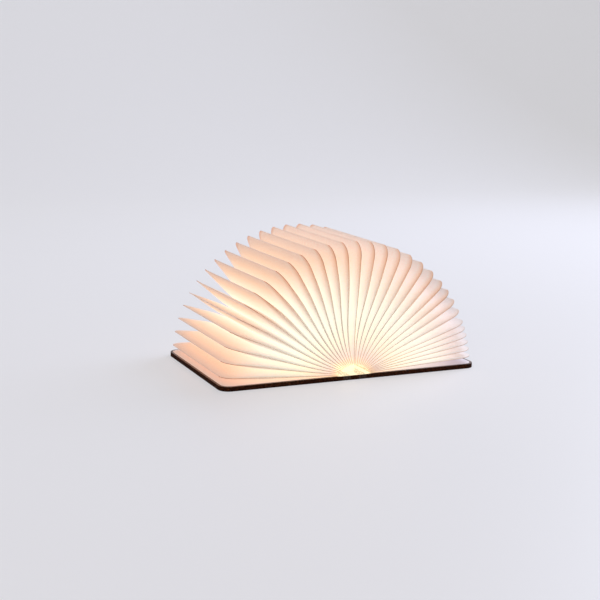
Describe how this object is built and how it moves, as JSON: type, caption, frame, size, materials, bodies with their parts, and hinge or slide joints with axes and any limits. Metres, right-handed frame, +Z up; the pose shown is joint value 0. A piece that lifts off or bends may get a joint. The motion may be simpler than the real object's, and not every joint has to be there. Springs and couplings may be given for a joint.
{
  "type": "folding book lamp",
  "caption": "Cordless lamp shaped like a hardback book: two wooden covers on a bending slotted spine, with folded pages that fan out over a light bar.",
  "frame": {"origin": "on the table plane under the middle of the spine, which is the bottom centre of the open lamp", "axes": "+Z up, +Y along the spine to the end with the charging socket, +X across the spine to the right-hand cover"},
  "size_m": [0.374, 0.215, 0.1813],
  "materials": {
    "cover_board": "satin",
    "spine_wood": "satin",
    "endpaper": "matte",
    "page_paper": "matte",
    "magnet_nickel": "satin",
    "tray_plastic": "matte",
    "diffuser_plastic": "satin",
    "led_board": "matte",
    "led_package": "gloss",
    "battery_foil": "satin",
    "circuit_board": "satin",
    "socket_steel": "satin",
    "switch_glass": "gloss",
    "screw_steel": "satin"
  },
  "bodies": {
    "spine": {"spine_strip": "spine_wood", "spine_flex_left": "spine_wood", "spine_flex_right": "spine_wood", "light_tray": "tray_plastic", "light_diffuser": "diffuser_plastic", "light_cap_near": "tray_plastic", "light_cap_far": "tray_plastic", "led_board": "led_board", "led_row": "led_package", "battery": "battery_foil", "charge_board": "circuit_board", "charge_socket": "socket_steel", "reed_switch": "switch_glass", "tray_screw_near": "screw_steel", "tray_screw_far": "screw_steel"},
    "cover_left": {"cover_left_board": "cover_board", "endpaper_left": "endpaper", "magnet_left_near": "magnet_nickel", "magnet_left_far": "magnet_nickel"},
    "cover_right": {"cover_right_board": "cover_board", "endpaper_right": "endpaper", "magnet_right_near": "magnet_nickel", "magnet_right_far": "magnet_nickel"},
    "page_01": {"page_01": "page_paper"},
    "page_02": {"page_02": "page_paper"},
    "page_03": {"page_03": "page_paper"},
    "page_04": {"page_04": "page_paper"},
    "page_05": {"page_05": "page_paper"},
    "page_06": {"page_06": "page_paper"},
    "page_07": {"page_07": "page_paper"},
    "page_08": {"page_08": "page_paper"},
    "page_09": {"page_09": "page_paper"},
    "page_10": {"page_10": "page_paper"},
    "page_11": {"page_11": "page_paper"},
    "page_12": {"page_12": "page_paper"},
    "page_13": {"page_13": "page_paper"},
    "page_14": {"page_14": "page_paper"},
    "page_15": {"page_15": "page_paper"},
    "page_16": {"page_16": "page_paper"},
    "page_17": {"page_17": "page_paper"},
    "page_18": {"page_18": "page_paper"},
    "page_19": {"page_19": "page_paper"},
    "page_20": {"page_20": "page_paper"},
    "page_21": {"page_21": "page_paper"},
    "page_22": {"page_22": "page_paper"},
    "page_23": {"page_23": "page_paper"},
    "page_24": {"page_24": "page_paper"},
    "page_25": {"page_25": "page_paper"},
    "page_26": {"page_26": "page_paper"},
    "page_27": {"page_27": "page_paper"},
    "page_28": {"page_28": "page_paper"},
    "page_29": {"page_29": "page_paper"},
    "page_30": {"page_30": "page_paper"},
    "page_31": {"page_31": "page_paper"}
  },
  "joints": [
    {"name": "cover_left_fold", "type": "hinge", "parent": "spine", "child": "cover_left", "pos_m": [-0.011, 0, 0.006], "axis": [0, 1, 0], "range_deg": [-90, 90], "deforming": ["spine_flex_left"]},
    {"name": "cover_right_fold", "type": "hinge", "parent": "spine", "child": "cover_right", "pos_m": [0.011, 0, 0.006], "axis": [0, -1, 0], "range_deg": [-90, 90], "deforming": ["spine_flex_right"]},
    {"name": "page_01_turn", "type": "hinge", "parent": "spine", "child": "page_01", "pos_m": [-0.01035, 0, 0.0064], "axis": [0, 1, 0], "range_deg": [-86.75, 86.75], "deforming": ["page_01"]},
    {"name": "page_02_turn", "type": "hinge", "parent": "spine", "child": "page_02", "pos_m": [-0.00966, 0, 0.0064], "axis": [0, 1, 0], "range_deg": [-80.43, 80.43], "deforming": ["page_02"]},
    {"name": "page_03_turn", "type": "hinge", "parent": "spine", "child": "page_03", "pos_m": [-0.00897, 0, 0.0064], "axis": [0, 1, 0], "range_deg": [-74.11, 74.11], "deforming": ["page_03"]},
    {"name": "page_04_turn", "type": "hinge", "parent": "spine", "child": "page_04", "pos_m": [-0.00828, 0, 0.0064], "axis": [0, 1, 0], "range_deg": [-67.79, 67.79], "deforming": ["page_04"]},
    {"name": "page_05_turn", "type": "hinge", "parent": "spine", "child": "page_05", "pos_m": [-0.00759, 0, 0.0064], "axis": [0, 1, 0], "range_deg": [-61.47, 61.47], "deforming": ["page_05"]},
    {"name": "page_06_turn", "type": "hinge", "parent": "spine", "child": "page_06", "pos_m": [-0.0069, 0, 0.0064], "axis": [0, 1, 0], "range_deg": [-55.15, 55.15], "deforming": ["page_06"]},
    {"name": "page_07_turn", "type": "hinge", "parent": "spine", "child": "page_07", "pos_m": [-0.00621, 0, 0.0064], "axis": [0, 1, 0], "range_deg": [-48.83, 48.83], "deforming": ["page_07"]},
    {"name": "page_08_turn", "type": "hinge", "parent": "spine", "child": "page_08", "pos_m": [-0.00552, 0, 0.0064], "axis": [0, 1, 0], "range_deg": [-42.51, 42.51], "deforming": ["page_08"]},
    {"name": "page_09_turn", "type": "hinge", "parent": "spine", "child": "page_09", "pos_m": [-0.00483, 0, 0.0064], "axis": [0, 1, 0], "range_deg": [-36.19, 36.19], "deforming": ["page_09"]},
    {"name": "page_10_turn", "type": "hinge", "parent": "spine", "child": "page_10", "pos_m": [-0.00414, 0, 0.0064], "axis": [0, 1, 0], "range_deg": [-29.87, 29.87], "deforming": ["page_10"]},
    {"name": "page_11_turn", "type": "hinge", "parent": "spine", "child": "page_11", "pos_m": [-0.00345, 0, 0.0064], "axis": [0, 1, 0], "range_deg": [-23.55, 23.55], "deforming": ["page_11"]},
    {"name": "page_12_turn", "type": "hinge", "parent": "spine", "child": "page_12", "pos_m": [-0.00276, 0, 0.0064], "axis": [0, 1, 0], "range_deg": [-17.23, 17.23], "deforming": ["page_12"]},
    {"name": "page_13_turn", "type": "hinge", "parent": "spine", "child": "page_13", "pos_m": [-0.00207, 0, 0.0064], "axis": [0, 1, 0], "range_deg": [-10.91, 10.91], "deforming": ["page_13"]},
    {"name": "page_14_turn", "type": "hinge", "parent": "spine", "child": "page_14", "pos_m": [-0.00138, 0, 0.0064], "axis": [0, 1, 0], "range_deg": [-4.59, 4.59], "deforming": ["page_14"]},
    {"name": "page_15_turn", "type": "hinge", "parent": "spine", "child": "page_15", "pos_m": [-0.00069, 0, 0.0064], "axis": [0, -1, 0], "range_deg": [-2.17, 2.17], "deforming": ["page_15"]},
    {"name": "page_16_turn", "type": "hinge", "parent": "spine", "child": "page_16", "pos_m": [0, 0, 0.0064], "axis": [0, -1, 0], "range_deg": [-8.83, 8.83], "deforming": ["page_16"]},
    {"name": "page_17_turn", "type": "hinge", "parent": "spine", "child": "page_17", "pos_m": [0.00069, 0, 0.0064], "axis": [0, -1, 0], "range_deg": [-15.49, 15.49], "deforming": ["page_17"]},
    {"name": "page_18_turn", "type": "hinge", "parent": "spine", "child": "page_18", "pos_m": [0.00138, 0, 0.0064], "axis": [0, -1, 0], "range_deg": [-22.15, 22.15], "deforming": ["page_18"]},
    {"name": "page_19_turn", "type": "hinge", "parent": "spine", "child": "page_19", "pos_m": [0.00207, 0, 0.0064], "axis": [0, -1, 0], "range_deg": [-28.81, 28.81], "deforming": ["page_19"]},
    {"name": "page_20_turn", "type": "hinge", "parent": "spine", "child": "page_20", "pos_m": [0.00276, 0, 0.0064], "axis": [0, -1, 0], "range_deg": [-35.47, 35.47], "deforming": ["page_20"]},
    {"name": "page_21_turn", "type": "hinge", "parent": "spine", "child": "page_21", "pos_m": [0.00345, 0, 0.0064], "axis": [0, -1, 0], "range_deg": [-42.13, 42.13], "deforming": ["page_21"]},
    {"name": "page_22_turn", "type": "hinge", "parent": "spine", "child": "page_22", "pos_m": [0.00414, 0, 0.0064], "axis": [0, -1, 0], "range_deg": [-48.79, 48.79], "deforming": ["page_22"]},
    {"name": "page_23_turn", "type": "hinge", "parent": "spine", "child": "page_23", "pos_m": [0.00483, 0, 0.0064], "axis": [0, -1, 0], "range_deg": [-54.21, 54.21], "deforming": ["page_23"]},
    {"name": "page_24_turn", "type": "hinge", "parent": "spine", "child": "page_24", "pos_m": [0.00552, 0, 0.0064], "axis": [0, -1, 0], "range_deg": [-59.63, 59.63], "deforming": ["page_24"]},
    {"name": "page_25_turn", "type": "hinge", "parent": "spine", "child": "page_25", "pos_m": [0.00621, 0, 0.0064], "axis": [0, -1, 0], "range_deg": [-65.05, 65.05], "deforming": ["page_25"]},
    {"name": "page_26_turn", "type": "hinge", "parent": "spine", "child": "page_26", "pos_m": [0.0069, 0, 0.0064], "axis": [0, -1, 0], "range_deg": [-70.47, 70.47], "deforming": ["page_26"]},
    {"name": "page_27_turn", "type": "hinge", "parent": "spine", "child": "page_27", "pos_m": [0.00759, 0, 0.0064], "axis": [0, -1, 0], "range_deg": [-73.79, 73.79], "deforming": ["page_27"]},
    {"name": "page_28_turn", "type": "hinge", "parent": "spine", "child": "page_28", "pos_m": [0.00828, 0, 0.0064], "axis": [0, -1, 0], "range_deg": [-77.11, 77.11], "deforming": ["page_28"]},
    {"name": "page_29_turn", "type": "hinge", "parent": "spine", "child": "page_29", "pos_m": [0.00897, 0, 0.0064], "axis": [0, -1, 0], "range_deg": [-80.43, 80.43], "deforming": ["page_29"]},
    {"name": "page_30_turn", "type": "hinge", "parent": "spine", "child": "page_30", "pos_m": [0.00966, 0, 0.0064], "axis": [0, -1, 0], "range_deg": [-83.75, 83.75], "deforming": ["page_30"]},
    {"name": "page_31_turn", "type": "hinge", "parent": "spine", "child": "page_31", "pos_m": [0.01035, 0, 0.0064], "axis": [0, -1, 0], "range_deg": [-87.07, 87.07], "deforming": ["page_31"]}
  ],
  "couplings": [
    {"joint": "page_01_turn", "follows": "cover_left_fold", "ratio": 0.96333},
    {"joint": "page_02_turn", "follows": "cover_left_fold", "ratio": 0.89311},
    {"joint": "page_03_turn", "follows": "cover_left_fold", "ratio": 0.82289},
    {"joint": "page_04_turn", "follows": "cover_left_fold", "ratio": 0.75267},
    {"joint": "page_05_turn", "follows": "cover_left_fold", "ratio": 0.68244},
    {"joint": "page_06_turn", "follows": "cover_left_fold", "ratio": 0.61222},
    {"joint": "page_07_turn", "follows": "cover_left_fold", "ratio": 0.542},
    {"joint": "page_08_turn", "follows": "cover_left_fold", "ratio": 0.47178},
    {"joint": "page_09_turn", "follows": "cover_left_fold", "ratio": 0.40156},
    {"joint": "page_10_turn", "follows": "cover_left_fold", "ratio": 0.33133},
    {"joint": "page_11_turn", "follows": "cover_left_fold", "ratio": 0.26111},
    {"joint": "page_12_turn", "follows": "cover_left_fold", "ratio": 0.19089},
    {"joint": "page_13_turn", "follows": "cover_left_fold", "ratio": 0.12067},
    {"joint": "page_14_turn", "follows": "cover_left_fold", "ratio": 0.05044},
    {"joint": "page_15_turn", "follows": "cover_right_fold", "ratio": 0.02356},
    {"joint": "page_16_turn", "follows": "cover_right_fold", "ratio": 0.09756},
    {"joint": "page_17_turn", "follows": "cover_right_fold", "ratio": 0.17156},
    {"joint": "page_18_turn", "follows": "cover_right_fold", "ratio": 0.24556},
    {"joint": "page_19_turn", "follows": "cover_right_fold", "ratio": 0.31956},
    {"joint": "page_20_turn", "follows": "cover_right_fold", "ratio": 0.39356},
    {"joint": "page_21_turn", "follows": "cover_right_fold", "ratio": 0.46756},
    {"joint": "page_22_turn", "follows": "cover_right_fold", "ratio": 0.54156},
    {"joint": "page_23_turn", "follows": "cover_right_fold", "ratio": 0.60178},
    {"joint": "page_24_turn", "follows": "cover_right_fold", "ratio": 0.662},
    {"joint": "page_25_turn", "follows": "cover_right_fold", "ratio": 0.72222},
    {"joint": "page_26_turn", "follows": "cover_right_fold", "ratio": 0.78244},
    {"joint": "page_27_turn", "follows": "cover_right_fold", "ratio": 0.81933},
    {"joint": "page_28_turn", "follows": "cover_right_fold", "ratio": 0.85622},
    {"joint": "page_29_turn", "follows": "cover_right_fold", "ratio": 0.89311},
    {"joint": "page_30_turn", "follows": "cover_right_fold", "ratio": 0.93},
    {"joint": "page_31_turn", "follows": "cover_right_fold", "ratio": 0.96689}
  ]
}
